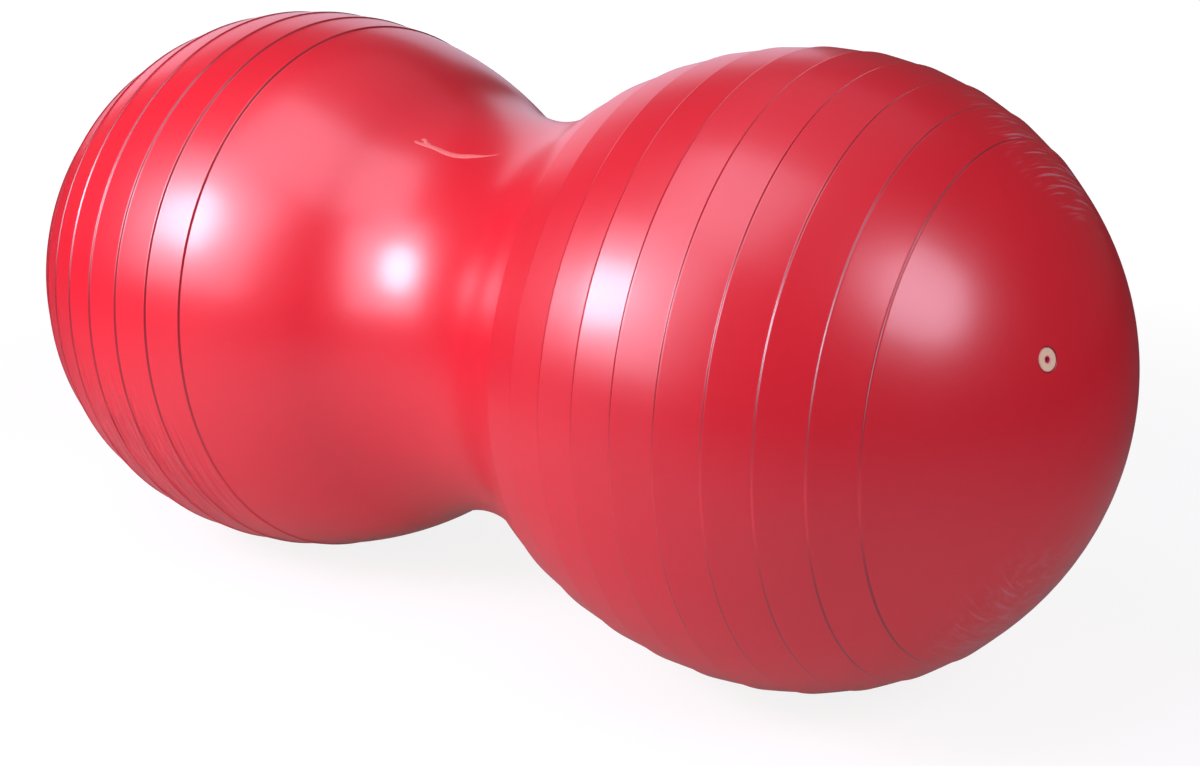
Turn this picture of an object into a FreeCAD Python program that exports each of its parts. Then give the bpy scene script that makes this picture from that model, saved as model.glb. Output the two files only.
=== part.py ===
import FreeCAD
import Part
import math
import os

# Peanut exercise ball: one hollow blown skin with two lobes and a waist, ribbed all round,
# with a soft stopper in a moulded valve seat near one end.
# Frame: origin on the floor under the middle of the waist, X along the ball towards the
# end with the valve, Z up. All sizes are in millimetres and degrees.

# Body of the ball
lobe_radius = 225.0        # widest radius of each lobe, and the radius of its end cap
lobe_offset = 244.0        # from the middle of the waist to the widest section of a lobe
waist_depth = 70.0         # how far the waist lies inside the lobes' radius
waist_arc_radius = 155.0   # hollow arc of the waist, seen from the side
wall = 0.7                 # thickness of the blown skin

# Ribs: raised rings, spaced evenly along the skin. Each is steep on its side towards the
# waist and eases down to the skin on the other.
rib_height = 0.9           # above the skin
rib_rise = 1.8             # across its steep side
rib_crest = 0.4            # across its flat top
rib_pitch = 32.0           # from rib to rib along the skin
rib_gap = 4.0              # plain skin left before the next rib
valve_lobe_inner_rib = -135.0   # first rib, along the skin from the widest section
valve_lobe_ribs = 10
plain_lobe_inner_rib = -71.0    # the plain lobe has no ribs on its neck
plain_lobe_ribs = 8

# Each lobe stands on a small round spot that the ball's weight presses flat
contact_radius = 27.0

# Valve: where it lies on the end cap
valve_off_axis = 23.0      # from the end of the long axis, measured at the lobe's centre
valve_turn = 50.0          # from straight up, turned towards the side of -Y

# Valve stopper
head_radius = 7.5
head_thickness = 1.6
head_round = 0.5           # rounding of the head's top edge
dimple_radius = 2.0        # blind hole that a removal tool hooks into
dimple_depth = 9.0
stem_radius = 4.0
stem_length = 20.0
nose_radius = 2.6          # at the tip of the stem
nose_length = 4.0
groove_depth = 0.5
groove_width = 1.5
groove_pitch = 3.5
groove_count = 3

# Valve seat moulded inside the skin
head_sink = 0.2            # top of the head below the crown of the skin
head_gap = 0.4             # round the head
stem_clearance = 0.05      # running fit of the stem in its bore, on the radius
seat_depth = 14.0          # from the crown of the skin to the inner end of the seat
seat_end_radius = 10.0
seat_root_radius = 14.0
bore_lead_in = 0.5         # small cone at the mouth of the bore

# Worked out from the sizes above
arc_reach = (lobe_offset ** 2 + waist_depth ** 2) / (2.0 * waist_depth)
flank_radius = arc_reach - waist_arc_radius
flank_angle = math.asin(lobe_offset / arc_reach)
flank_length = flank_radius * flank_angle
waist_length = waist_arc_radius * flank_angle
cap_length = lobe_radius * math.pi / 2.0
axis_height = math.sqrt(lobe_radius ** 2 - contact_radius ** 2)
half_length = lobe_offset + lobe_radius
clear_of_all = lobe_radius + rib_height
rib_fall = rib_pitch - rib_rise - rib_crest - rib_gap
rib_start = -rib_crest / 2.0 - rib_rise    # both ends of a rib, from the middle of its crest
rib_end = rib_crest / 2.0 + rib_fall


# The skin's side view runs through three tangent arcs: the cap about the lobe's centre,
# the flank, and the hollow of the waist. A place on it is the distance along the skin from
# the lobe's widest section, positive towards the end. side is 1 for the lobe with the valve
# and -1 for the plain lobe, and lift raises the place off the skin.
def skin_point(side, distance, lift=0.0):
    if distance >= 0.0:
        angle = distance / lobe_radius
        along = lobe_offset + (lobe_radius + lift) * math.sin(angle)
        radius = (lobe_radius + lift) * math.cos(angle)
    elif -distance <= flank_length:
        angle = -distance / flank_radius
        along = lobe_offset - (flank_radius + lift) * math.sin(angle)
        radius = lobe_radius - flank_radius + (flank_radius + lift) * math.cos(angle)
    else:
        angle = flank_angle - (-distance - flank_length) / waist_arc_radius
        along = (waist_arc_radius - lift) * math.sin(angle)
        radius = lobe_radius - waist_depth + waist_arc_radius
        radius -= (waist_arc_radius - lift) * math.cos(angle)
    return FreeCAD.Vector(side * along, 0.0, axis_height + radius)


# Smooth skin between two distances, as one arc for each of the three arcs it touches
def smooth_stretch(side, start, end, lift):
    joins = [join for join in (-flank_length, 0.0) if start < join < end]
    stops = [start] + joins + [end]
    edges = []
    for first, last in zip(stops[:-1], stops[1:]):
        middle = (first + last) / 2.0
        points = [skin_point(side, place, lift) for place in (first, middle, last)]
        edges.append(Part.Arc(*points).toShape())
    return edges


# Section of one rib: the steep side, a narrow flat top, and an arc that meets the skin
# almost without a corner, because halfway down it has lost three quarters of the height
def rib_section(side, distance):
    foot = skin_point(side, distance + rib_start)
    crest_start = skin_point(side, distance - rib_crest / 2.0, rib_height)
    crest_end = skin_point(side, distance + rib_crest / 2.0, rib_height)
    halfway = skin_point(side, distance + (rib_crest / 2.0 + rib_end) / 2.0, rib_height / 4.0)
    end = skin_point(side, distance + rib_end)
    return [
        Part.makeLine(foot, crest_start),
        Part.makeLine(crest_start, crest_end),
        Part.Arc(crest_end, halfway, end).toShape(),
    ]


# Side view of one lobe from the middle of the waist to its end
def lobe_outline(side, lift, ribs):
    here = -flank_length - waist_length
    edges = []
    for rib in ribs:
        edges += smooth_stretch(side, here, rib + rib_start, lift)
        edges += rib_section(side, rib)
        here = rib + rib_end
    edges += smooth_stretch(side, here, cap_length, lift)
    return edges


# Solid turned about the long axis from the side views of both lobes
def turned_body(lift, valve_side_ribs, plain_side_ribs):
    edges = lobe_outline(1, lift, valve_side_ribs) + lobe_outline(-1, lift, plain_side_ribs)
    edges.append(Part.makeLine(skin_point(-1, cap_length, lift), skin_point(1, cap_length, lift)))
    outline = Part.Wire(Part.sortEdges(edges)[0])
    axis_point = FreeCAD.Vector(0.0, 0.0, axis_height)
    full_turn = 360.0
    return Part.Face(outline).revolve(axis_point, FreeCAD.Vector(1.0, 0.0, 0.0), full_turn)


# Keeps what lies above a level, which leaves a flat spot under each lobe
def flattened(body, level):
    corner = FreeCAD.Vector(-half_length - clear_of_all, -clear_of_all, level)
    length = 2.0 * (half_length + clear_of_all)
    room = Part.makeBox(length, 2.0 * clear_of_all, 2.0 * clear_of_all, corner)
    return body.common(room)


def rib_places(first, count):
    return [first + number * rib_pitch for number in range(count)]


# Moves a shape from the valve's own frame, with its origin on the crown of the skin and
# Z pointing out of the ball, to its place on the end cap
def on_valve(shape):
    tilt = math.radians(valve_off_axis)
    turn = math.radians(valve_turn)
    outwards = FreeCAD.Vector(
        math.cos(tilt),
        -math.sin(tilt) * math.sin(turn),
        math.sin(tilt) * math.cos(turn),
    )
    lobe_centre = FreeCAD.Vector(lobe_offset, 0.0, axis_height)
    crown = lobe_centre + outwards * lobe_radius
    rotation = FreeCAD.Rotation(FreeCAD.Vector(0.0, 0.0, 1.0), outwards)
    return shape.transformed(FreeCAD.Placement(crown, rotation).toMatrix(), copy=True)


# Solid seat that the skin keeps on its inside, wider where it leaves the skin
def valve_seat():
    base = FreeCAD.Vector(0.0, 0.0, -seat_depth)
    return Part.makeCone(seat_end_radius, seat_root_radius, seat_depth, base)


# Hollow in the seat: a round recess for the head, and the stem's bore with its lead-in
def valve_hollow():
    floor = -head_sink - head_thickness
    bore_radius = stem_radius + stem_clearance
    recess_base = FreeCAD.Vector(0.0, 0.0, floor)
    recess = Part.makeCylinder(head_radius + head_gap, head_thickness + head_radius, recess_base)
    bore_base = FreeCAD.Vector(0.0, 0.0, -seat_depth - wall)
    bore = Part.makeCylinder(bore_radius, seat_depth, bore_base)
    mouth_base = FreeCAD.Vector(0.0, 0.0, floor - bore_lead_in)
    mouth = Part.makeCone(bore_radius, bore_radius + bore_lead_in, bore_lead_in, mouth_base)
    return recess.fuse([bore, mouth])


# The skin: turned outside with its ribs, less the hollow inside, with the seat left in it
def make_ball_shell():
    valve_ribs = rib_places(valve_lobe_inner_rib, valve_lobe_ribs)
    plain_ribs = rib_places(plain_lobe_inner_rib, plain_lobe_ribs)
    outside = flattened(turned_body(0.0, valve_ribs, plain_ribs), 0.0)
    inside = flattened(turned_body(-wall, [], []), wall)
    hollow = inside.cut(on_valve(valve_seat()))
    return outside.cut(hollow).cut(on_valve(valve_hollow()))


# The stopper: a flat head with a blind hole, and a grooved stem that narrows to its nose
def make_valve_plug():
    head = Part.makeCylinder(head_radius, head_thickness)
    top_edges = [edge for edge in head.Edges if len(edge.Vertexes) == 1
                 and edge.Vertexes[0].Point.z > head_thickness / 2.0]
    head = head.makeFillet(head_round, top_edges)
    stem_base = FreeCAD.Vector(0.0, 0.0, nose_length - stem_length)
    stem = Part.makeCylinder(stem_radius, stem_length - nose_length, stem_base)
    nose_base = FreeCAD.Vector(0.0, 0.0, -stem_length)
    nose = Part.makeCone(nose_radius, stem_radius, nose_length, nose_base)
    plug = head.fuse([stem, nose])
    for number in range(groove_count):
        groove_base = FreeCAD.Vector(0.0, 0.0, -(number + 1) * groove_pitch - groove_width / 2.0)
        around = Part.makeCylinder(stem_radius + groove_depth, groove_width, groove_base)
        core = Part.makeCylinder(stem_radius - groove_depth, groove_width, groove_base)
        plug = plug.cut(around.cut(core))
    dimple_base = FreeCAD.Vector(0.0, 0.0, head_thickness - dimple_depth)
    plug = plug.cut(Part.makeCylinder(dimple_radius, dimple_depth, dimple_base))
    plug.translate(FreeCAD.Vector(0.0, 0.0, -head_sink - head_thickness))
    return on_valve(plug)


os.makedirs("parts", exist_ok=True)
pieces = {
    "ball_shell": make_ball_shell(),
    "valve_plug": make_valve_plug(),
}
for name, shape in pieces.items():
    box = shape.BoundBox
    print(
        name,
        "solids", len(shape.Solids),
        "valid", shape.isValid(),
        "volume cm3", round(shape.Volume / 1000.0, 2),
        "size", round(box.XLength, 2), round(box.YLength, 2), round(box.ZLength, 2),
        "low z", round(box.ZMin, 3),
    )
    shape.exportStep("parts/" + name + ".step")
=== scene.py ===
import bpy
import numpy as np
from mathutils import Matrix, Vector


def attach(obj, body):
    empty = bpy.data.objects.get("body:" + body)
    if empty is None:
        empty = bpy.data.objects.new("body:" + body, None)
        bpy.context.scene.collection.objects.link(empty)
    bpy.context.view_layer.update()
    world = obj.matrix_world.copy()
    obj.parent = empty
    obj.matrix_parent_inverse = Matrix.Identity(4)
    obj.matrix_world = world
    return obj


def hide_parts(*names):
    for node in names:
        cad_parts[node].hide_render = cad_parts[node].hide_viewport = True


# Peanut exercise ball in red PVC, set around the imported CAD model.
# Shapes are worked out in millimetres and turned to metres where the meshes are made.
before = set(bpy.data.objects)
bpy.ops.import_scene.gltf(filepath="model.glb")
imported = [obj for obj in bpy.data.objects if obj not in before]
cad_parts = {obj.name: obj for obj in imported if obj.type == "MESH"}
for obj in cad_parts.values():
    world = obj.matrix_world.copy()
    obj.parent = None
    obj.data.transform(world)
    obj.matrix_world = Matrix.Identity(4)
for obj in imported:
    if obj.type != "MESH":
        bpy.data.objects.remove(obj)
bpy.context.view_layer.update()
metre = 0.001
print("frame loaded:", ", ".join(sorted(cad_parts)))


# one sRGB hex colour as the linear values that shaders take
def linear(hexColour):
    value = np.array([int(hexColour[k:k + 2], 16) for k in (1, 3, 5)]) / 255
    value = np.where(value <= 0.04045, value / 12.92, ((value + 0.055) / 1.055) ** 2.4)
    return (*value.tolist(), 1.0)


# adds one node: inputs are values or other nodes' outputs, settings are its properties
def addNode(tree, kind, inputs=None, **settings):
    new = tree.nodes.new(kind)
    for name, value in settings.items():
        setattr(new, name, value)
    for name, value in (inputs or {}).items():
        if isinstance(value, bpy.types.NodeSocket):
            tree.links.new(value, new.inputs[name])
        else:
            new.inputs[name].default_value = value
    return new


# scale of a noise whose patches are this many millimetres wide
def noiseScale(width):
    return 1 / (width * metre)


# an empty material with its output node
def startMaterial(name):
    material = bpy.data.materials.new(name)
    material.use_nodes = True
    tree = material.node_tree
    tree.nodes.clear()
    return material, tree, tree.nodes.new("ShaderNodeOutputMaterial")


# A stack of closed rings becomes one closed surface: rows of four-sided faces run round
# between neighbouring rings, and a fan closes each end on its pole. rowPlaces, from 0 to 1 from
# pole to pole, adds a flat map with the turn across it and these places up it.
def ringMesh(name, rings, firstPole, lastPole, rowPlaces=None):
    rows, columns = rings.shape[:2]
    points = np.vstack([firstPole, rings.reshape(-1, 3), lastPole]) * metre
    across = np.arange(columns)
    after = (across + 1) % columns
    start = 1 + columns * np.arange(rows - 1)[:, None]
    quads = np.stack([start + across, start + columns + across,
                      start + columns + after, start + after], axis=-1).reshape(-1, 4)
    last = 1 + columns * (rows - 1)
    closing = np.full(columns, len(points) - 1)
    fans = np.vstack([np.stack([across * 0, 1 + across, 1 + after], axis=-1),
                      np.stack([last + after, last + across, closing], axis=-1)])
    mesh = bpy.data.meshes.new(name)
    mesh.from_pydata(points.tolist(), [], quads.tolist() + fans.tolist())
    if rowPlaces is not None:
        left, right = across / columns, (across + 1) / columns
        low, high = rowPlaces[:-1, None], rowPlaces[1:, None]
        low, high, left2, right2 = np.broadcast_arrays(low[1:-1], high[1:-1], left, right)
        quadMap = np.stack([left2, low, left2, high, right2, high, right2, low], axis=-1)
        middle = (left + right) / 2
        whole = np.ones(columns)
        fanMap = [np.stack([middle, whole * rowPlaces[0], left, whole * rowPlaces[1],
                            right, whole * rowPlaces[1]], axis=-1),
                  np.stack([right, whole * rowPlaces[-2], left, whole * rowPlaces[-2],
                            middle, whole * rowPlaces[-1]], axis=-1)]
        flat = mesh.uv_layers.new(name="OFBake")
        flat.data.foreach_set("uv", np.concatenate(
            [quadMap.ravel(), fanMap[0].ravel(), fanMap[1].ravel()]))
    mesh.polygons.foreach_set("use_smooth", np.ones(len(mesh.polygons), bool))
    mesh.update()
    mesh.validate()
    piece = bpy.data.objects.new(name, mesh)
    bpy.context.scene.collection.objects.link(piece)
    return piece


# Gives a piece made by ringMesh values for its material to read: one for each ring, or one
# for each point of each ring.
def ringShade(piece, name, values):
    columns = (len(piece.data.vertices) - 2) // len(values)
    spread = np.broadcast_to(values.reshape(len(values), -1), (len(values), columns))
    shade = piece.data.attributes.new(name, "FLOAT", "POINT")
    shade.data.foreach_set("value", np.concatenate([[0], spread.ravel(), [0]]))


# camera, where the photograph was taken

camera = {
    "lens": 56.19,          # on a 36 mm sensor
    "azimuth": 37.2,
    "elevation": 15.9,
    "aimHeight": 0.2234,    # of the ball's long axis
    "sideways": 0.0464,
    "upwards": -0.0493,
    "distance": 1.4677,
}
turn, rise = np.radians(camera["azimuth"]), np.radians(camera["elevation"])
camRight = np.array([np.cos(turn), np.sin(turn), 0])
camBack = np.array([np.sin(turn) * np.cos(rise), -np.cos(turn) * np.cos(rise), np.sin(rise)])
camUp = np.cross(camBack, camRight)
camPlace = np.array([0, 0, camera["aimHeight"]]) + camera["sideways"] * camRight
camPlace = camPlace + camera["upwards"] * camUp + camera["distance"] * camBack
lensData = bpy.data.cameras.new("camera")
lensData.lens = camera["lens"]
lensData.sensor_width = 36.0
lensData.clip_start = 0.05
cameraObject = bpy.data.objects.new("camera", lensData)
cameraObject.matrix_world = Matrix([
    (camRight[k], camUp[k], camBack[k], camPlace[k]) for k in range(3)] + [(0, 0, 0, 1)])
bpy.context.scene.collection.objects.link(cameraObject)
bpy.context.scene.camera = cameraObject
print("camera placed")


# ball skin

ball = {
    "lobeRadius": 225.0,
    "lobeOffset": 244.0,        # from the middle of the waist to a lobe's widest section
    "waistDepth": 70.0,         # of the waist inside the lobes' radius
    "waistArc": 155.0,          # radius of its hollow arc
    "wall": 0.7,
    "contactRadius": 27.0,      # of the flat spot under each lobe
    "ribHeight": 0.9,
    "ribRise": 1.8,             # across the steep side, towards the waist
    "ribFlat": 0.2,             # half of the crest
    "ribFall": 25.8,            # across the side that eases down
    "ribPitch": 32.0,
    "valveSideRibs": (-135.0, 10),      # place of the first from the widest section, and count
    "plainSideRibs": (-71.0, 8),
    "lineSharpness": 1.8,       # of the painted shade on a rib's steep side
    "faintFrom": 88.0,          # turn from the top where the plain lobe's painted shade lines start to fade
    "faintTo": 128.0,
    "faintness": 0.75,
    "dipTurn": 98.0,            # turn from the top where the valve lobe's painted shade lines hardly show
    "dipReach": 11.0,
    "dip": 0.85,
    "rimShade": 0.3,            # painted shade at the outer edge of the recess's rim
    "columns": 180,
    "rowStep": 7.2,             # between rows on plain skin
    "insideStep": 15.0,
    # rows across a rib: before its crest in widths of the rise, and after it in millimetres
    "riseRows": (1.3, 1, 0.84, 0.68, 0.5, 0.32, 0.16, 0),
    "fallRows": (0.7, 1.6, 3.2),
    "poleGap": 2.5,             # from the plain lobe's last row to its pole
    "insidePoleGap": 6.0,
    "capStart": 190.0,          # from here the valve's end is rows round the valve
    "capRows": 34,
    "capRowPower": 1.5,         # above 1 they crowd towards the valve
    "insideCapRows": 14,
    "cornerRow": 0.15,          # from an edge to the row beside it, which keeps the edge crisp
    "insideOnMap": 0.1,         # the inside's share of its size on the flat map
    "leastOnMap": 1.2,          # added to each row there, so that narrow ones have room
    "valveOffAxis": 23.0,       # degrees from the end of the long axis
    "valveTurn": 50.0,          # degrees from straight up
    "recessRadius": 7.9,
    "recessDepth": 1.8,
    "rimRound": 0.5,
    "boreRadius": 4.05,
    "boreLeadIn": 0.5,
    "seatDepth": 14.0,
    "seatEndRadius": 10.0,
    "seatRootRadius": 14.0,
}
lobeRadius, lobeOffset = ball["lobeRadius"], ball["lobeOffset"]
arcReach = (lobeOffset ** 2 + ball["waistDepth"] ** 2) / (2 * ball["waistDepth"])
flankRadius = arcReach - ball["waistArc"]
flankAngle = np.arcsin(lobeOffset / arcReach)
flankLength = flankRadius * flankAngle
neckLength = flankLength + ball["waistArc"] * flankAngle
capLength = lobeRadius * np.pi / 2
axisHeight = np.sqrt(lobeRadius ** 2 - ball["contactRadius"] ** 2)
waistCentre = lobeRadius - ball["waistDepth"] + ball["waistArc"]
around = 2 * np.pi * np.arange(ball["columns"]) / ball["columns"]


# Side view of the skin at distances from the widest section, raised off it by lift:
# a cap arc about the lobe's centre, a wider flank arc, and the waist's hollow arc.
def sideView(place, lift):
    capTurn = place / lobeRadius
    flankTurn = -place / flankRadius
    waistTurn = flankAngle - (-place - flankLength) / ball["waistArc"]
    parts = [place >= 0, -place <= flankLength]
    along = np.select(parts, [
        lobeOffset + (lobeRadius + lift) * np.sin(capTurn),
        lobeOffset - (flankRadius + lift) * np.sin(flankTurn),
    ], (ball["waistArc"] - lift) * np.sin(waistTurn))
    radius = np.select(parts, [
        (lobeRadius + lift) * np.cos(capTurn),
        lobeRadius - flankRadius + (flankRadius + lift) * np.cos(flankTurn),
    ], waistCentre - (ball["waistArc"] - lift) * np.cos(waistTurn))
    return along, radius


# Height of the skin over the plain profile. Each rib rises to its crest by a smooth step
# towards the waist, and on its other side falls off as the square of what is left.
def ribLift(place, first, count):
    crests = first + ball["ribPitch"] * np.arange(count)
    away = place[:, None] - crests
    up = np.clip(1 + (away + ball["ribFlat"]) / ball["ribRise"], 0, 1)
    down = np.clip(1 - (away - ball["ribFlat"]) / ball["ribFall"], 0, 1)
    return ball["ribHeight"] * (up * up * (3 - 2 * up) * down * down).max(axis=1)


# How much painted shade a place gets on the steep side of a rib: the parabola 4 up (1 - up),
# raised by the sharpness and cut off at 1. With 1.8 it is 1 from a sixth to five sixths of the
# rise.
def ribSteep(place, first, count):
    crests = first + ball["ribPitch"] * np.arange(count)
    up = 1 + (place[:, None] - crests + ball["ribFlat"]) / ball["ribRise"]
    up = np.clip(up, 0, 1)
    return np.clip(ball["lineSharpness"] * 4 * up * (1 - up), 0, 1).max(axis=1)


# Distances of the rows: close together across each rib, even steps in between.
def rowDistances(first, count, start, stop, step):
    rise = -ball["ribFlat"] - ball["ribRise"] * np.array(ball["riseRows"])
    across = np.concatenate([rise, [ball["ribFlat"]], ball["fallRows"]])
    crests = first + ball["ribPitch"] * np.arange(count)
    stops = np.concatenate([[start], (crests[:, None] + across[[0, -1]]).ravel(), [stop]])
    even = [np.linspace(a, b, int(np.ceil((b - a) / step)) + 1)[:-1]
            for a, b in zip(stops[::2], stops[1::2])]
    return np.unique(np.round(np.concatenate(
        even + [[stop], (crests[:, None] + across).ravel()]), 5))


# Rings of the turned body: x from the side view, y and z round the long axis.
def turnedRings(side, along, radius):
    x = side * along[:, None] + 0 * around
    y = -radius[:, None] * np.sin(around)
    z = axisHeight + radius[:, None] * np.cos(around)
    return np.stack([x, y, z], axis=-1)


# Rings between two rings on a sphere: each pair of points is joined by its great circle, on
# which the sines of the angles to both ends, over the sine of the whole, weigh the two points.
def sphereRings(centre, first, last, shares):
    a, b = first - centre, last - centre
    size = np.linalg.norm(a, axis=-1)
    angle = np.arccos(np.clip((a * b).sum(-1) / size ** 2, -1, 1))[:, None]
    share = shares[:, None, None]
    return centre + (np.sin((1 - share) * angle) * a + np.sin(share * angle) * b) / np.sin(angle)


# the valve's own directions: outwards, and two across it that follow the ball's turn
tilt, twist = np.radians(ball["valveOffAxis"]), np.radians(ball["valveTurn"])
outwards = np.array([np.cos(tilt), -np.sin(tilt) * np.sin(twist), np.sin(tilt) * np.cos(twist)])
acrossUp = np.array([0, 0, 1]) - outwards * outwards[2]
acrossUp = acrossUp / np.linalg.norm(acrossUp)
acrossSide = np.cross(outwards, acrossUp)
lobeCentre = np.array([lobeOffset, 0, axisHeight])
crown = lobeCentre + outwards * lobeRadius


# Rings round the valve's axis from radii and depths below the crown: the crown, less the depth
# outwards, plus the radius times the turned direction across.
def valveRings(radius, depth, turns):
    radius, depth = np.asarray(radius)[:, None, None], np.asarray(depth)[:, None, None]
    ring = np.cos(turns)[:, None] * acrossUp + np.sin(turns)[:, None] * acrossSide
    return crown - depth * outwards + radius * ring


# Depth below the crown of a sphere about the lobe's centre, at a radius from the valve's axis:
# the lobe's radius less the root of the two radii's squares taken from each other.
def sphereDepth(radius, sphere):
    return lobeRadius - np.sqrt(sphere ** 2 - radius ** 2)


# The skin's rings run from the end of the plain lobe over the outside to the valve, down its
# recess and bore, round the seat, and back along the inside.
def makeBallSkin():
    valveFirst, valveCount = ball["valveSideRibs"]
    plainFirst, plainCount = ball["plainSideRibs"]
    step = ball["rowStep"]
    plainEnd = capLength - ball["poleGap"]
    plainRows = rowDistances(plainFirst, plainCount, -neckLength, plainEnd, step)
    valveRows = rowDistances(valveFirst, valveCount, -neckLength, ball["capStart"], step)
    plainOut = turnedRings(-1, *sideView(plainRows, ribLift(plainRows, plainFirst, plainCount)))
    valveOut = turnedRings(1, *sideView(valveRows, ribLift(valveRows, valveFirst, valveCount)))
    outside = np.concatenate([plainOut[::-1], valveOut[1:]])
    outside[..., 2] = np.maximum(outside[..., 2], 0)

    # the rim's rounding, the recess, the bore and the seat as a path of radius and depth
    rim = ball["recessRadius"] + ball["rimRound"]
    rimDepth = sphereDepth(rim, lobeRadius)
    bend = np.radians([0, 22.5, 45, 67.5, 90])
    bore, lead = ball["boreRadius"], ball["boreLeadIn"]
    floorDepth, seatEnd = ball["recessDepth"], ball["seatDepth"]
    slope = (ball["seatRootRadius"] - ball["seatEndRadius"]) / seatEnd
    insideRadius = lobeRadius - ball["wall"]
    root = ball["seatRootRadius"]
    for _ in range(4):  # where the seat's cone meets the inside of the skin
        root = ball["seatRootRadius"] - slope * sphereDepth(root, insideRadius)
    corner = ball["cornerRow"]
    recess, seat = ball["recessRadius"], ball["seatEndRadius"]
    rounded = np.stack([rim - ball["rimRound"] * np.sin(bend),
                        rimDepth + ball["rimRound"] * (1 - np.cos(bend))], axis=-1)
    recessPath = [(recess, floorDepth - corner), (recess, floorDepth),
                  (recess - corner, floorDepth), (bore + lead + corner, floorDepth)]
    borePath = [(bore + lead, floorDepth), (bore, floorDepth + lead),
                (bore, floorDepth + lead + corner), (bore, (floorDepth + seatEnd) / 2),
                (bore, seatEnd - corner), (bore, seatEnd), (bore + corner, seatEnd)]
    seatPath = [(seat - corner, seatEnd), (seat, seatEnd),
                (seat + slope * corner, seatEnd - corner),
                (root, sphereDepth(root, insideRadius))]
    path = np.vstack([rounded, recessPath, borePath, seatPath])
    hole = valveRings(path[:, 0], path[:, 1], around)
    shares = 1 - (1 - np.linspace(0, 1, ball["capRows"])[1:-1]) ** ball["capRowPower"]
    cap = sphereRings(lobeCentre, outside[-1], hole[0], shares)

    valveStops = np.linspace(-neckLength, ball["capStart"],
                             int((neckLength + ball["capStart"]) / ball["insideStep"]))
    valveIn = turnedRings(1, *sideView(valveStops, -ball["wall"]))
    plainStops = np.linspace(-neckLength, capLength - ball["insidePoleGap"],
                             int((neckLength + capLength) / ball["insideStep"]))
    plainIn = turnedRings(-1, *sideView(plainStops, -ball["wall"]))
    shares = np.linspace(0, 1, ball["insideCapRows"])[1:-1]
    capIn = sphereRings(lobeCentre, hole[-1], valveIn[-1], shares)
    inside = np.concatenate([capIn, valveIn[::-1], plainIn[1:]])
    inside[..., 2] = np.maximum(inside[..., 2], ball["wall"])

    # the rings are turned the other way round, so that the faces look outwards
    rings = np.concatenate([outside, cap, hole, inside])[:, ::-1]
    outerPole = np.array([-lobeOffset - lobeRadius, 0, axisHeight])
    innerPole = outerPole + np.array([ball["wall"], 0, 0])
    steps = np.linalg.norm(np.diff(rings[:, 0], axis=0), axis=-1)
    steps = np.concatenate([[ball["poleGap"]], steps, [ball["insidePoleGap"]]])
    steps[len(outside) + len(cap):] *= ball["insideOnMap"]
    places = np.concatenate([[0], np.cumsum(steps + ball["leastOnMap"])])
    skin = ringMesh("ball_skin", rings, outerPole, innerPole, places / places[-1])

    # The steep sides of the ribs and the gap round the stopper get painted shade, a darker red.
    # On the plain lobe that painted shade grows faint below the middle, by a smooth step over the
    # turn from the top. On the valve's lobe it dips at one turn, by one less a bell curve.
    fromTop = np.degrees(np.minimum(around, 2 * np.pi - around))
    below = np.clip((fromTop - ball["faintFrom"]) / (ball["faintTo"] - ball["faintFrom"]), 0, 1)
    faint = 1 - ball["faintness"] * below * below * (3 - 2 * below)
    shades = np.zeros(rings.shape[:2])
    shades[:len(plainRows)] = ribSteep(plainRows, plainFirst, plainCount)[::-1, None] * faint
    dip = 1 - ball["dip"] * np.exp(-((fromTop - ball["dipTurn"]) / ball["dipReach"]) ** 2)
    valveShades = ribSteep(valveRows, valveFirst, valveCount)[1:, None] * dip
    shades[len(plainRows):len(outside)] = valveShades
    # painted shade in the gap round the stopper: full in the recess and bore, rising from rimShade
    # to full over the rim's rounding
    gapStart = len(outside) + len(cap)
    shades[gapStart:gapStart + len(hole)] = 1
    shades[gapStart:gapStart + len(bend)] = np.linspace(
        ball["rimShade"], 1, len(bend))[:, None]
    ringShade(skin, "lineShade", shades[:, ::-1])
    print("ball skin:", len(rings), "rings")
    return skin


ballSkin = makeBallSkin()
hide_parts("ball_shell")
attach(ballSkin, "ball")


# Crease along the waist. A ridge starts and stops along the ball, from the middle of the waist.
# Its turn is from straight up and swings by some degrees to its far end, from a share of its
# length on. It is widest at the share called peak.
crease = {
    "waist_crease": {
        "start": -56.0, "stop": 22.0, "turn": 28.4, "swing": -2.9, "swingFrom": 0.5,
        "halfWidth": 2.5, "peak": 0.62},
    "waist_crease_fork": {
        "start": -52.5, "stop": -39.5, "turn": 26.9, "swing": 1.4, "swingFrom": 0.0,
        "halfWidth": 1.9, "peak": 0.45},
    "height": 0.45,
    "depth": 0.5,               # under the skin
    "wobble": 0.25,             # degrees by which the ridges waver
    "wobbleTurn": 15.0,         # of that wave over a ridge's length, in radians
    "growPower": 0.25,          # of the width up to the peak
    "fallPower": 1.3,           # and from there on
    "rows": 46,
    "columns": 14,
}


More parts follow.
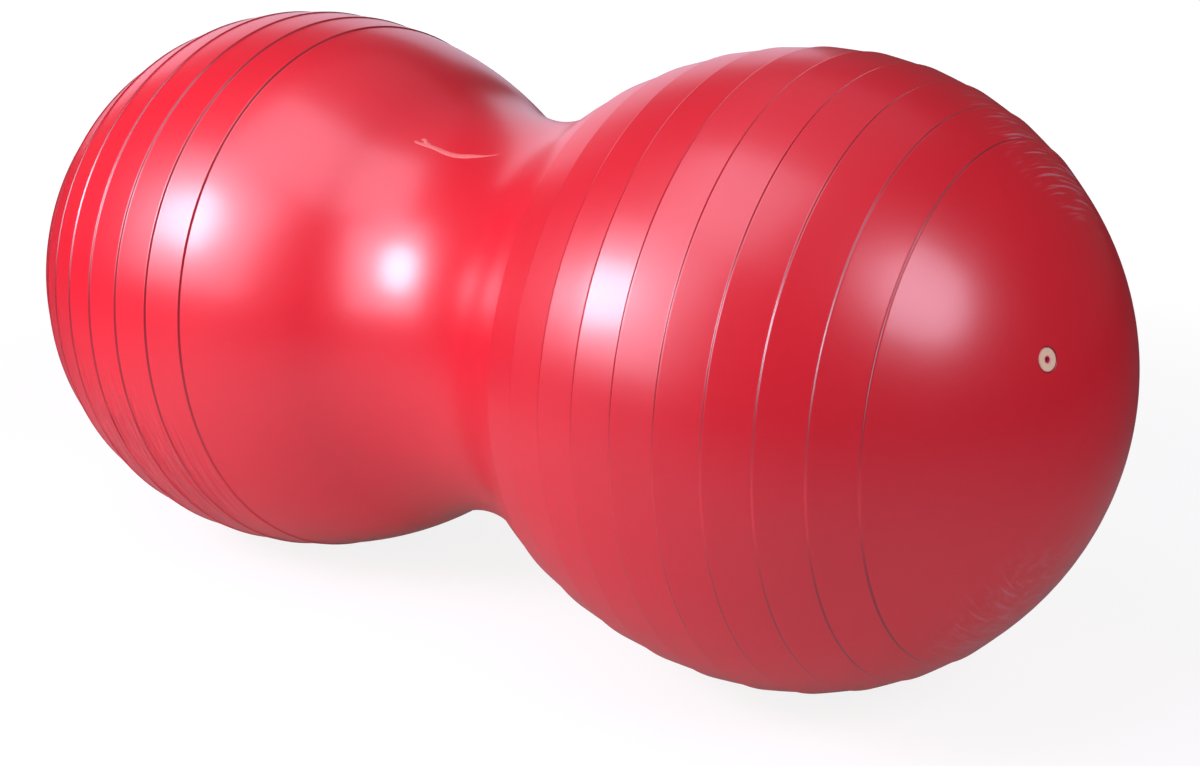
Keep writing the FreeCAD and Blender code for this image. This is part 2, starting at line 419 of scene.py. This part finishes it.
# A low ridge along a path on the waist: two half ellipses, one above the skin and one below,
# are carried along it. Their width is the share of the length run over the peak, raised to the
# first power, and beyond the peak the share that is left, raised to the second. The path's turn
# swings by a smooth step and wavers by a cosine.
def makeCrease(name):
    ridge = crease[name]
    share = np.linspace(0, 1, crease["rows"] + 2)[1:-1]
    section = 2 * np.pi * np.arange(crease["columns"]) / crease["columns"]

    def skinAt(part):
        along = ridge["start"] + (ridge["stop"] - ridge["start"]) * part
        swung = np.clip((part - ridge["swingFrom"]) / (1 - ridge["swingFrom"]), 0, 1)
        swing = ridge["swing"] * swung * swung * (3 - 2 * swung)
        wobble = crease["wobble"] * np.cos(crease["wobbleTurn"] * part)
        angle = np.radians(ridge["turn"] + swing + wobble)
        radial = waistCentre - np.sqrt(ball["waistArc"] ** 2 - along ** 2)
        outward = np.stack([0 * part, -np.sin(angle), np.cos(angle)], axis=-1)
        place = radial[:, None] * outward
        place[:, 0] = along
        place[:, 2] += axisHeight
        normal = outward * np.sqrt(ball["waistArc"] ** 2 - along ** 2)[:, None]
        normal[:, 0] = -along
        return place, normal / ball["waistArc"]

    place, normal = skinAt(share)
    littleStep = 0.001
    ahead = skinAt(share + littleStep)[0] - place
    sideways = np.cross(normal, ahead)
    sideways /= np.linalg.norm(sideways, axis=-1, keepdims=True)
    growing = (share / ridge["peak"]) ** crease["growPower"]
    falling = ((1 - share) / (1 - ridge["peak"])) ** crease["fallPower"]
    taper = np.where(share < ridge["peak"], growing, falling)
    across = (ridge["halfWidth"] * taper)[:, None] * np.cos(section)
    lift = np.where(np.sin(section) > 0, crease["height"], crease["depth"]) * np.sin(section)
    rings = (place[:, None] + across[..., None] * sideways[:, None]
             + (taper[:, None] * lift)[..., None] * normal[:, None])
    ends = skinAt(np.array([0.0, 1.0]))[0]
    return ringMesh(name, rings[:, ::-1], ends[0], ends[1])


waistCrease = makeCrease("waist_crease")
creaseFork = makeCrease("waist_crease_fork")
for piece in (waistCrease, creaseFork):
    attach(piece, "ball")
print("crease laid on the waist")


# valve stopper

stopper = {
    "headRadius": 7.5,
    "headThickness": 1.6,
    "headRound": 0.55,
    "headSink": 0.2,            # crown of the head below the crown of the skin
    "headDish": 0.12,           # the head's face dips a little towards its hole
    "holeRadius": 2.0,
    "holeLip": 0.3,
    "holeDepth": 9.0,
    "holeFloor": ((0.9, 0.0), (1.7, 0.05), (2.0, 0.4)),     # radii and heights in its round end
    "holeRows": (4.0, 1.5),     # rows on its wall, below the head's crown
    "pinkFrom": 0.8,            # share of the lip that has the hole's painted red light
    "stemRadius": 4.0,
    "stemLength": 20.0,
    "stemRows": 90,
    "neckWidth": 0.3,           # of the small bevel from the head to the stem
    "neckHeight": 0.1,
    "noseRadius": 2.6,
    "noseLength": 4.0,
    "noseEnd": ((0.25, 0.3), (0.0, 0.08), (-0.4, 0.0)),     # past its radius, before its tip
    "grooveDepth": 0.5,
    "grooveWidth": 1.47,
    "groovePower": 0.45,        # below 1 a groove has steep sides and a round floor
    "groovePitch": 3.5,
    "grooves": 3,
    "redLightReach": 1.1,           # how far the painted red light from round the head reaches into it
    "cornerRow": 0.15,          # from an edge to the row beside it
    "faceRows": 8,
    "columns": 72,
}


# The stopper is turned about the valve's axis: its section of radii and depths runs from the
# bottom of the blind hole up over the lip, out over the head, round its edge, and down the
# stem. The head's face rises from the lip by a quarter sine. A groove is as deep as a tent over
# its width, raised to the groove's power.
def makeStopper():
    top = stopper["headSink"]
    dish = top + stopper["headDish"]
    under = top + stopper["headThickness"]
    floor = top + stopper["holeDepth"]
    tip = under + stopper["stemLength"]
    hole, lip, edge = stopper["holeRadius"], stopper["holeLip"], stopper["headRound"]
    head, stem = stopper["headRadius"], stopper["stemRadius"]
    corner = stopper["cornerRow"]
    quarter = np.radians(np.linspace(0, 90, 6))

    holePath = [(radius, floor - height) for radius, height in stopper["holeFloor"]]
    holePath += [(hole, top + row) for row in stopper["holeRows"]]
    holePath += [(hole, dish + lip + corner)]
    lipPath = np.stack([hole + lip * (1 - np.cos(quarter)),
                        dish + lip * (1 - np.sin(quarter))], axis=-1)
    faceRadii = np.linspace(hole + lip, head - edge, stopper["faceRows"] + 1)[1:]
    share = (faceRadii - hole - lip) / (head - edge - hole - lip)
    facePath = np.stack([faceRadii, dish - stopper["headDish"] * np.sin(share * np.pi / 2)],
                        axis=-1)
    edgePath = np.stack([head - edge + edge * np.sin(quarter[1:]),
                         top + edge * (1 - np.cos(quarter[1:]))], axis=-1)
    underPath = [(head, under - corner), (head - corner / 3, under),
                 (stem + stopper["neckWidth"], under), (stem, under + stopper["neckHeight"])]
    down = np.linspace(under + 4 * stopper["neckHeight"], tip - stopper["noseLength"],
                       stopper["stemRows"])
    ring = (down - under) / stopper["groovePitch"]
    near = (ring > 0.5) & (ring < stopper["grooves"] + 0.5)
    halfGroove = stopper["grooveWidth"] / 2 / stopper["groovePitch"]
    cut = near * np.clip(1 - np.abs(ring - np.round(ring)) / halfGroove, 0, 1)
    cut = cut ** stopper["groovePower"]
    stemPath = np.stack([stem - stopper["grooveDepth"] * cut, down], axis=-1)
    nosePath = [(stopper["noseRadius"] + past, tip - before)
                for past, before in stopper["noseEnd"]]
    section = np.vstack([holePath, lipPath, facePath, edgePath, underPath, stemPath, nosePath])

    turns = 2 * np.pi * np.arange(stopper["columns"]) / stopper["columns"]
    rings = valveRings(section[:, 0], section[:, 1], turns)
    piece = ringMesh("valve_stopper", rings, crown - outwards * floor, crown - outwards * tip)
    radius = section[:, 0]
    # painted red light: the blind hole is painted pink for red light that comes through the cream
    # from the skin round it
    upToLip = np.arange(len(section)) < len(holePath) + len(lipPath)
    inHole = upToLip & (radius < hole + lip * stopper["pinkFrom"])
    ringShade(piece, "holeRedLight", inHole.astype(float))
    # painted light: the head is tinted pink near its edge and its hole, for red light that comes
    # off and through the skin round it
    fromRed = np.minimum(radius - hole - lip, head - radius)
    ringShade(piece, "paintedRedLight", np.clip(1 - fromRed / stopper["redLightReach"], 0, 1))
    return piece


stopperPiece = makeStopper()
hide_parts("valve_plug")
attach(stopperPiece, "stopper")
print("stopper turned")


# Blown PVC, pigmented through: saturated red, softly glossy, with a slightly wavy skin, so
# lamps show as soft pale patches and the ribs as thin dark and light lines, whose dark lines
# also carry painted shade. Widths and depths of its patterns are in millimetres.
redPvc = {
    "red": "#E2192B",
    "deepRed": "#DB162A",
    "paintedShadeRed": "#97101F",       # painted shade on the ribs' steep sides and in the gap round the stopper
    "scuffed": "#D98C96",
    "roughness": 0.33,
    "roughnessSpread": 0.03,    # either way
    "ior": 1.53,
    "shine": 0.88,              # specular level
    "film": 0.3,                # weight of the smoother film that plasticiser leaves on top
    "filmRoughness": 0.19,
    # where the skin is worn: centre, reach, depth of its fine wrinkles, and strength of its pale
    # scratches and pale scuffs
    "worn": [((-265.0, -190.0, 105.0), 110.0, 5.0, 0.12, 0.0),
             ((390.0, 55.0, 388.0), 78.0, 1.5, 0.75, 0.08),
             ((424.0, -48.0, 104.0), 72.0, 1.5, 0.25, 0.25)],
    "wornCore": 0.4,            # share of the reach that is fully worn
    "wrinkleWidth": 5.0,        # of one wrinkle, along the ball
    "wrinkleLength": 55.0,      # and round it
    "scratchSpread": (3.2, 0.9, 1.0),   # scratches per wrinkle: across it, and along it
    "scratchLevels": (0.55, 0.68),      # of the noise, from no scratch to a full one
    "scuffWidth": 13.33,
    "scuffLevels": (0.52, 0.76),
    "driftWidth": 111.0,        # of the patches in which the red varies, about a hand's width
    "waveWidth": 35.7,          # of the slow unevenness that blowing leaves
    "waveDepth": 0.12,
    "grainWidth": 0.91,         # of the mould's grain, drawn coarse enough to show
    "grainDepth": 0.02,
    "grainStrength": 0.35,
}


def makeRedPvc():
    material, tree, output = startMaterial("blownRedPvc")
    place = addNode(tree, "ShaderNodeTexCoord").outputs["Object"]
    drift = addNode(tree, "ShaderNodeTexNoise", {
        "Vector": place, "Scale": noiseScale(redPvc["driftWidth"]), "Detail": 3.0})
    colour = addNode(tree, "ShaderNodeMix", {
        "Factor": drift.outputs["Fac"], "A": linear(redPvc["deepRed"]),
        "B": linear(redPvc["red"])}, data_type="RGBA")

    # wrinkles run round the ball: noise on its length and on the arc round its long axis
    parts = addNode(tree, "ShaderNodeSeparateXYZ", {"Vector": place})
    overAxis = addNode(tree, "ShaderNodeMath", {
        0: parts.outputs["Z"], 1: axisHeight * metre}, operation="SUBTRACT")
    turned = addNode(tree, "ShaderNodeMath", {
        0: parts.outputs["Y"], 1: overAxis.outputs["Value"]}, operation="ARCTAN2")
    arc = addNode(tree, "ShaderNodeMath", {
        0: turned.outputs["Value"], 1: lobeRadius / redPvc["wrinkleLength"]}, operation="MULTIPLY")
    length = addNode(tree, "ShaderNodeMath", {
        0: parts.outputs["X"], 1: noiseScale(redPvc["wrinkleWidth"])}, operation="MULTIPLY")
    spread = addNode(tree, "ShaderNodeCombineXYZ", {
        "X": length.outputs["Value"], "Y": arc.outputs["Value"]})
    wrinkle = addNode(tree, "ShaderNodeTexNoise", {
        "Vector": spread.outputs["Vector"], "Scale": 1.0, "Detail": 2.0, "Distortion": 0.2})
    # scratches are the peaks of a noise drawn out along the wrinkles, scuffs are soft patches
    drawnOut = addNode(tree, "ShaderNodeVectorMath", {
        0: spread.outputs["Vector"], 1: redPvc["scratchSpread"]}, operation="MULTIPLY")
    streaks = addNode(tree, "ShaderNodeTexNoise", {
        "Vector": drawnOut.outputs["Vector"], "Scale": 1.0, "Detail": 1.0, "Distortion": 0.15})
    noScratch, fullScratch = redPvc["scratchLevels"]
    peaks = addNode(tree, "ShaderNodeMapRange", {
        "Value": streaks.outputs["Fac"], "From Min": noScratch, "From Max": fullScratch})
    blots = addNode(tree, "ShaderNodeTexNoise", {
        "Vector": place, "Scale": noiseScale(redPvc["scuffWidth"]), "Detail": 5.0})
    noScuff, fullScuff = redPvc["scuffLevels"]
    patches = addNode(tree, "ShaderNodeMapRange", {
        "Value": blots.outputs["Fac"], "From Min": noScuff, "From Max": fullScuff})
    # each worn place adds its share of wrinkle depth and of paleness
    folds, pale = 0.0, 0.0
    for centre, reach, depth, scratches, scuffs in redPvc["worn"]:
        away = addNode(tree, "ShaderNodeVectorMath", {
            0: place, 1: [value * metre for value in centre]}, operation="DISTANCE")
        near = addNode(tree, "ShaderNodeMapRange", {
            "Value": away.outputs["Value"], "From Min": reach * metre,
            "From Max": redPvc["wornCore"] * reach * metre},
            interpolation_type="SMOOTHSTEP").outputs["Result"]
        folds = addNode(tree, "ShaderNodeMath", {
            0: near, 1: depth, 2: folds}, operation="MULTIPLY_ADD").outputs["Value"]
        scratched = addNode(tree, "ShaderNodeMath", {
            0: peaks.outputs["Result"], 1: scratches}, operation="MULTIPLY")
        rubbed = addNode(tree, "ShaderNodeMath", {
            0: patches.outputs["Result"], 1: scuffs, 2: scratched.outputs["Value"]},
            operation="MULTIPLY_ADD")
        pale = addNode(tree, "ShaderNodeMath", {
            0: near, 1: rubbed.outputs["Value"], 2: pale}, operation="MULTIPLY_ADD",
            use_clamp=True).outputs["Value"]
    worn = addNode(tree, "ShaderNodeMix", {
        "Factor": pale, "A": colour.outputs["Result"],
        "B": linear(redPvc["scuffed"])}, data_type="RGBA")
    # painted shade: a darker red where lineShade marks the ribs' steep sides and the gap round the
    # stopper
    lines = addNode(tree, "ShaderNodeAttribute", attribute_name="lineShade")
    painted = addNode(tree, "ShaderNodeMix", {
        "Factor": lines.outputs["Fac"], "A": worn.outputs["Result"],
        "B": linear(redPvc["paintedShadeRed"])}, data_type="RGBA")

    # relief: slow waves, the wrinkles over them, and the mould's grain over both
    waves = addNode(tree, "ShaderNodeTexNoise", {
        "Vector": place, "Scale": noiseScale(redPvc["waveWidth"]), "Detail": 2.0,
        "Roughness": 0.45})
    slow = addNode(tree, "ShaderNodeBump", {
        "Height": waves.outputs["Fac"], "Strength": 1.0,
        "Distance": redPvc["waveDepth"] * metre})
    wrinkleHeight = addNode(tree, "ShaderNodeMath", {
        0: wrinkle.outputs["Fac"], 1: folds}, operation="MULTIPLY")
    folded = addNode(tree, "ShaderNodeBump", {
        "Height": wrinkleHeight.outputs["Value"], "Normal": slow.outputs["Normal"],
        "Strength": 1.0, "Distance": metre})
    grain = addNode(tree, "ShaderNodeTexNoise", {
        "Vector": place, "Scale": noiseScale(redPvc["grainWidth"]), "Detail": 2.0,
        "Roughness": 0.6})
    fine = addNode(tree, "ShaderNodeBump", {
        "Height": grain.outputs["Fac"], "Normal": folded.outputs["Normal"],
        "Strength": redPvc["grainStrength"], "Distance": redPvc["grainDepth"] * metre})
    rough = addNode(tree, "ShaderNodeMapRange", {
        "Value": drift.outputs["Fac"],
        "To Min": redPvc["roughness"] - redPvc["roughnessSpread"],
        "To Max": redPvc["roughness"] + redPvc["roughnessSpread"]})
    shader = addNode(tree, "ShaderNodeBsdfPrincipled", {
        "Base Color": painted.outputs["Result"], "Roughness": rough.outputs["Result"],
        "IOR": redPvc["ior"], "Specular IOR Level": redPvc["shine"],
        "Coat Weight": redPvc["film"], "Coat Roughness": redPvc["filmRoughness"],
        "Normal": fine.outputs["Normal"], "Coat Normal": folded.outputs["Normal"]})
    tree.links.new(shader.outputs["BSDF"], output.inputs["Surface"])
    return material


# PVC that was folded and has whitened along the fold: paler and duller than the skin
creasedPvc = {
    "red": "#E25A58",
    "whitened": "#EC827A",
    "roughness": 0.5,
    "ior": 1.53,
    "fleckWidth": 1.43,
    "fleckDepth": 0.2,
    "fleckStrength": 0.5,
}


def makeCreasedPvc():
    material, tree, output = startMaterial("foldWhitenedPvc")
    place = addNode(tree, "ShaderNodeTexCoord").outputs["Object"]
    flecks = addNode(tree, "ShaderNodeTexNoise", {
        "Vector": place, "Scale": noiseScale(creasedPvc["fleckWidth"]), "Detail": 3.0})
    colour = addNode(tree, "ShaderNodeMix", {
        "Factor": flecks.outputs["Fac"], "A": linear(creasedPvc["red"]),
        "B": linear(creasedPvc["whitened"])}, data_type="RGBA")
    bump = addNode(tree, "ShaderNodeBump", {
        "Height": flecks.outputs["Fac"], "Strength": creasedPvc["fleckStrength"],
        "Distance": creasedPvc["fleckDepth"] * metre})
    shader = addNode(tree, "ShaderNodeBsdfPrincipled", {
        "Base Color": colour.outputs["Result"], "Roughness": creasedPvc["roughness"],
        "IOR": creasedPvc["ior"], "Normal": bump.outputs["Normal"]})
    tree.links.new(shader.outputs["BSDF"], output.inputs["Surface"])
    return material


# Soft unpigmented PVC, injection moulded: cream, dull, with fine specks. It lets some light
# through;
# red light from the skin round it is painted in: pinker near that skin, pink inside its blind
# hole.
creamPvc = {
    "cream": "#FFCDA6",
    "paleCream": "#FFDEC0",
    "redLightPink": "#FFA898",    # painted red light, where the red round it shows in it
    # painted red light inside the blind hole, two tones mixed by the specks
    "holePink": "#E04C70",
    "holePale": "#FF8CA4",
    "roughness": 0.48,
    "ior": 1.52,
    "through": 0.4,             # share of the light that goes in
    "throughReach": (0.004, 0.002, 0.001),      # in metres, for red, green and blue
    "mottleWidth": 2.38,
    "mottleDepth": 0.1,
    "mottleStrength": 0.4,
    "speckWidth": 1.11,
}


def makeCreamPvc():
    material, tree, output = startMaterial("softCreamPvc")
    place = addNode(tree, "ShaderNodeTexCoord").outputs["Object"]
    mottle = addNode(tree, "ShaderNodeTexNoise", {
        "Vector": place, "Scale": noiseScale(creamPvc["mottleWidth"]), "Detail": 3.0})
    cream = addNode(tree, "ShaderNodeMix", {
        "Factor": mottle.outputs["Fac"], "A": linear(creamPvc["cream"]),
        "B": linear(creamPvc["paleCream"])}, data_type="RGBA")
    # painted red light near the head's edge and its hole
    glow = addNode(tree, "ShaderNodeAttribute", attribute_name="paintedRedLight")
    tinged = addNode(tree, "ShaderNodeMix", {
        "Factor": glow.outputs["Fac"], "A": cream.outputs["Result"],
        "B": linear(creamPvc["redLightPink"])}, data_type="RGBA")
    # painted red light inside the blind hole
    shade = addNode(tree, "ShaderNodeAttribute", attribute_name="holeRedLight")
    specks = addNode(tree, "ShaderNodeTexNoise", {
        "Vector": place, "Scale": noiseScale(creamPvc["speckWidth"]), "Detail": 1.0})
    pink = addNode(tree, "ShaderNodeMix", {
        "Factor": specks.outputs["Fac"], "A": linear(creamPvc["holePink"]),
        "B": linear(creamPvc["holePale"])}, data_type="RGBA")
    colour = addNode(tree, "ShaderNodeMix", {
        "Factor": shade.outputs["Fac"], "A": tinged.outputs["Result"],
        "B": pink.outputs["Result"]}, data_type="RGBA")
    bump = addNode(tree, "ShaderNodeBump", {
        "Height": mottle.outputs["Fac"], "Strength": creamPvc["mottleStrength"],
        "Distance": creamPvc["mottleDepth"] * metre})
    shader = addNode(tree, "ShaderNodeBsdfPrincipled", {
        "Base Color": colour.outputs["Result"], "Roughness": creamPvc["roughness"],
        "IOR": creamPvc["ior"], "Subsurface Weight": creamPvc["through"],
        "Subsurface Radius": creamPvc["throughReach"], "Subsurface Scale": 1.0,
        "Normal": bump.outputs["Normal"]})
    tree.links.new(shader.outputs["BSDF"], output.inputs["Surface"])
    return material


ballSkin.data.materials.append(makeRedPvc())
foldedRed = makeCreasedPvc()
waistCrease.data.materials.append(foldedRed)
creaseFork.data.materials.append(foldedRed)
stopperPiece.data.materials.append(makeCreamPvc())
print("materials made")


# floor and light

studio = {
    "floorSize": 40.0,          # from its middle to each side, in metres
    "paperBounce": "#F2F2F2",   # white paper, as the lamps' light comes back off it
    "paperSeen": "#7A7A7A",     # the part of it that still darkens in a shadow
    "glow": 0.86,               # the rest of the paper's white, which takes no shadow,
    "glowFar": 1.0,             # and out of the lamps' reach
    "nearRadius": 0.6,
    "farRadius": 1.8,
    "glossGlow": 0.15,          # the same in the ball's gloss, near the ball
    "glossFrom": 0.45,          # where it starts to fall off, from the middle of the waist
    "glossTo": 0.95,            # and where it ends
    "lampColour": "#F2E8FF",
    "worldColour": "#FFFFFF",
    "worldStrength": 0.07,
    "worldSeen": 1.0,
}


# White paper: the camera sees it near white with a light shadow, and the gloss of the ball
# sees it fall off with the lamps, away from the ball.
def makeFloor():
    size = studio["floorSize"]
    mesh = bpy.data.meshes.new("floor")
    mesh.from_pydata([(-size, -size, 0), (size, -size, 0), (size, size, 0), (-size, size, 0)],
                     [], [(0, 1, 2, 3)])
    floor = bpy.data.objects.new("floor", mesh)
    bpy.context.scene.collection.objects.link(floor)
    material, tree, output = startMaterial("whitePaper")
    bounce = addNode(tree, "ShaderNodeBsdfDiffuse", {"Color": linear(studio["paperBounce"])})
    seen = addNode(tree, "ShaderNodeBsdfDiffuse", {"Color": linear(studio["paperSeen"])})
    rays = addNode(tree, "ShaderNodeLightPath")
    place = addNode(tree, "ShaderNodeTexCoord").outputs["Object"]
    away = addNode(tree, "ShaderNodeVectorMath", {0: place}, operation="LENGTH")
    fall = addNode(tree, "ShaderNodeMapRange", {
        "Value": away.outputs["Value"], "From Min": studio["glossFrom"],
        "From Max": studio["glossTo"], "To Min": studio["glossGlow"], "To Max": 0.0},
        interpolation_type="SMOOTHSTEP")
    lift = addNode(tree, "ShaderNodeMapRange", {
        "Value": away.outputs["Value"], "From Min": studio["nearRadius"],
        "From Max": studio["farRadius"], "To Min": studio["glow"], "To Max": studio["glowFar"]},
        interpolation_type="SMOOTHSTEP")
    strength = addNode(tree, "ShaderNodeMix", {
        "Factor": rays.outputs["Is Camera Ray"], "A": fall.outputs["Result"],
        "B": lift.outputs["Result"]}, data_type="FLOAT")
    glow = addNode(tree, "ShaderNodeEmission", {"Strength": strength.outputs["Result"]})
    white = addNode(tree, "ShaderNodeAddShader", {
        0: seen.outputs["BSDF"], 1: glow.outputs["Emission"]})
    mirrored = addNode(tree, "ShaderNodeMath", {
        0: rays.outputs["Is Glossy Ray"], 1: rays.outputs["Is Transmission Ray"]})
    direct = addNode(tree, "ShaderNodeMath", {
        0: rays.outputs["Is Camera Ray"], 1: mirrored.outputs["Value"]}, use_clamp=True)
    both = addNode(tree, "ShaderNodeMixShader", {
        0: direct.outputs["Value"], 1: bounce.outputs["BSDF"], 2: white.outputs["Shader"]})
    tree.links.new(both.outputs["Shader"], output.inputs["Surface"])
    mesh.materials.append(material)


makeFloor()

# the world lights the ball a little, and is white where the camera looks past the floor
world = bpy.data.worlds.new("studio")
bpy.context.scene.world = world
world.use_nodes = True
world.node_tree.nodes.clear()
skyRays = addNode(world.node_tree, "ShaderNodeLightPath")
skySeen = addNode(world.node_tree, "ShaderNodeMath", {
    0: skyRays.outputs["Is Camera Ray"], 1: skyRays.outputs["Is Transmission Ray"]},
    use_clamp=True)
skyStrength = addNode(world.node_tree, "ShaderNodeMix", {
    "Factor": skySeen.outputs["Value"], "A": studio["worldStrength"],
    "B": studio["worldSeen"]}, data_type="FLOAT")
skyShader = addNode(world.node_tree, "ShaderNodeBackground", {
    "Color": linear(studio["worldColour"]), "Strength": skyStrength.outputs["Result"]})
addNode(world.node_tree, "ShaderNodeOutputWorld", {
    "Surface": skyShader.outputs["Background"]})

# lamps: place, what each aims at, outline, width and height in metres, power in watts
lamps = {
    "keyLamp": ((-0.52, -0.89, 0.73), (0.0, 0.0, 0.25), "ELLIPSE", 0.36, 0.42, 6.3),
    "keyPanel": ((-0.60, -1.30, 0.95), (0.0, 0.0, 0.25), "RECTANGLE", 1.2, 1.2, 14.0),
    "frontTopPanel": ((-0.13, -0.75, 1.88), (0.0, 0.0, 0.25), "RECTANGLE", 1.3, 1.1, 11.0),
    "overheadPanel": ((0.0, 0.4, 2.0), (0.0, 0.0, 0.25), "RECTANGLE", 1.6, 1.6, 2.0),
    "sideSoftbox": ((1.19, -0.3, 0.9), (0.2, 0.0, 0.25), "ELLIPSE", 0.6, 0.6, 5.2),
    "backPanel": ((-3.8, 3.2, 1.6), (0.0, 0.0, 0.25), "RECTANGLE", 4.0, 2.6, 33.0),
}
for name, (place, target, outline, width, height, power) in lamps.items():
    data = bpy.data.lights.new(name, "AREA")
    data.shape = outline
    data.size, data.size_y = width, height
    data.energy = power
    data.color = linear(studio["lampColour"])[:3]
    lamp = bpy.data.objects.new(name, data)
    lamp.location = place
    aim = Vector(target) - Vector(place)
    lamp.rotation_euler = aim.to_track_quat("-Z", "Y").to_euler()
    lamp.visible_camera = False
    bpy.context.scene.collection.objects.link(lamp)
bpy.context.scene.view_settings.view_transform = "Standard"
print("floor and lamps set")
